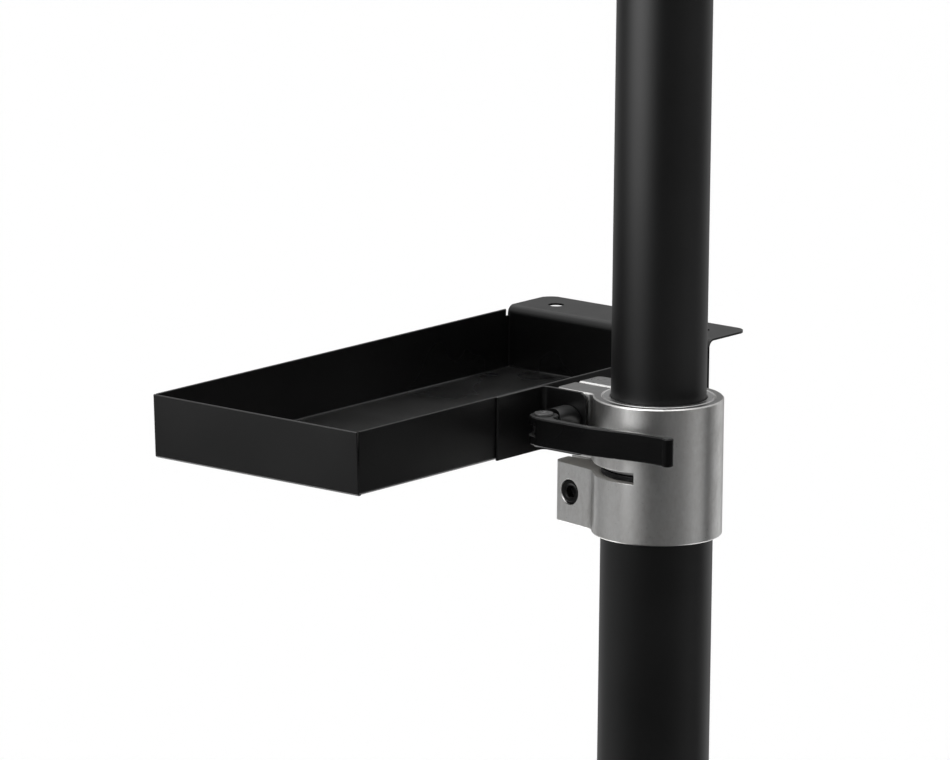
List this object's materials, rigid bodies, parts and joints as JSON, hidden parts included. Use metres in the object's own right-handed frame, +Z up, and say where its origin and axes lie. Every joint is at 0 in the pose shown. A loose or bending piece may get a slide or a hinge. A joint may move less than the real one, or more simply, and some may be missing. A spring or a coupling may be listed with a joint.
{
  "type": "bike repair stand",
  "caption": "Bike repair stand: telescopic steel column on a base plate, clamp collar with cam lever and tool tray, and a rotating screw-jaw clamp head.",
  "frame": {"origin": "on the floor, at the column's axis", "axes": "+Z up the column; +X from the column towards the clamp head, the tool tray hangs on the -X side; +Y towards the tray's screwdriver shelf, the cam lever is on the -Y side of the collar"},
  "size_m": [0.5735, 0.46, 1.4845],
  "materials": {
    "base_paint": "satin black powder coat with a fine orange-peel texture",
    "tube_paint": "satin black powder coat",
    "collar_metal": "bare machined aluminium, brushed around the axis, bright chamfers",
    "bush_metal": "matt turned aluminium split bush",
    "nylon": "natural nylon",
    "black_screw": "black oxide steel",
    "bright_steel": "bright zinc-plated steel",
    "lever_paint": "satin black die casting, edges rubbed brighter",
    "tray_paint": "satin black powder coat on folded sheet steel",
    "head_paint": "satin black powder coat on castings",
    "shaft_steel": "ground steel",
    "black_plastic": "moulded black plastic with a fine grain",
    "pad_rubber": "soft black rubber"
  },
  "bodies": {
    "stand": {"base_plate": "base_paint", "base_flange": "base_paint", "flange_bolts": "black_screw", "lower_tube": "tube_paint", "column_screws": "black_screw", "collar": "collar_metal", "collar_bush": "bush_metal", "collar_screw": "black_screw", "skewer": "bright_steel", "skewer_nut": "black_screw", "cam_saddle": "lever_paint", "cam_pin": "bright_steel", "tray_bracket": "tray_paint", "tool_tray": "tray_paint"},
    "cam_lever": {"cam_lever": "lever_paint"},
    "guide": {"guide_ring": "nylon"},
    "mast": {"upper_tube": "tube_paint", "guide_clip": "bright_steel", "end_plug": "black_plastic", "head_housing": "head_paint", "housing_screws": "black_screw", "head_bushes": "nylon", "lock_bolt": "bright_steel"},
    "lock_lever": {"lock_lever": "black_plastic"},
    "head": {"arm_shaft": "shaft_steel", "shaft_collars": "black_screw", "shaft_plug": "black_plastic", "jaw_frame": "head_paint", "frame_screws": "black_screw", "guide_rods": "shaft_steel", "fixed_pad": "pad_rubber"},
    "jaw": {"moving_jaw": "head_paint", "moving_pad": "pad_rubber"},
    "spindle": {"spindle": "bright_steel", "handwheel": "black_plastic", "wheel_screw": "black_screw", "crank_pin": "bright_steel"},
    "crank_knob": {"crank_knob": "black_plastic"}
  },
  "joints": [
    {"name": "cam_lever_hinge", "type": "hinge", "parent": "stand", "child": "cam_lever", "pos_m": [-0.0443, -0.0423, 0.8825], "axis": [0, 0, -1], "range_deg": [0, 90]},
    {"name": "mast_slide", "type": "slide", "parent": "stand", "child": "guide", "axis": [0, 0, 1], "range_m": [-0.3, 0.12]},
    {"name": "mast_swivel", "type": "hinge", "parent": "guide", "child": "mast", "pos_m": [0, 0, 0.6395], "axis": [0, 0, 1], "continuous": true},
    {"name": "lock_lever_turn", "type": "hinge", "parent": "mast", "child": "lock_lever", "pos_m": [0, -0.025, 1.4725], "axis": [0, 1, 0], "range_deg": [0, 60]},
    {"name": "head_rotation", "type": "hinge", "parent": "mast", "child": "head", "pos_m": [0.1, 0, 1.4295], "axis": [1, 0, 0], "continuous": true},
    {"name": "spindle_turn", "type": "hinge", "parent": "head", "child": "spindle", "pos_m": [0.182, -0.091, 1.4295], "axis": [0, -1, 0], "range_deg": [-180, 1440]},
    {"name": "jaw_slide", "type": "slide", "parent": "head", "child": "jaw", "axis": [0, -1, 0], "range_m": [-0.0051, 0.0401]},
    {"name": "crank_knob_spin", "type": "hinge", "parent": "spindle", "child": "crank_knob", "pos_m": [0.22, -0.15, 1.4295], "axis": [0, 1, 0], "continuous": true}
  ],
  "couplings": [
    {"joint": "jaw_slide", "follows": "spindle_turn", "m_per_rad": 0.0015915}
  ]
}
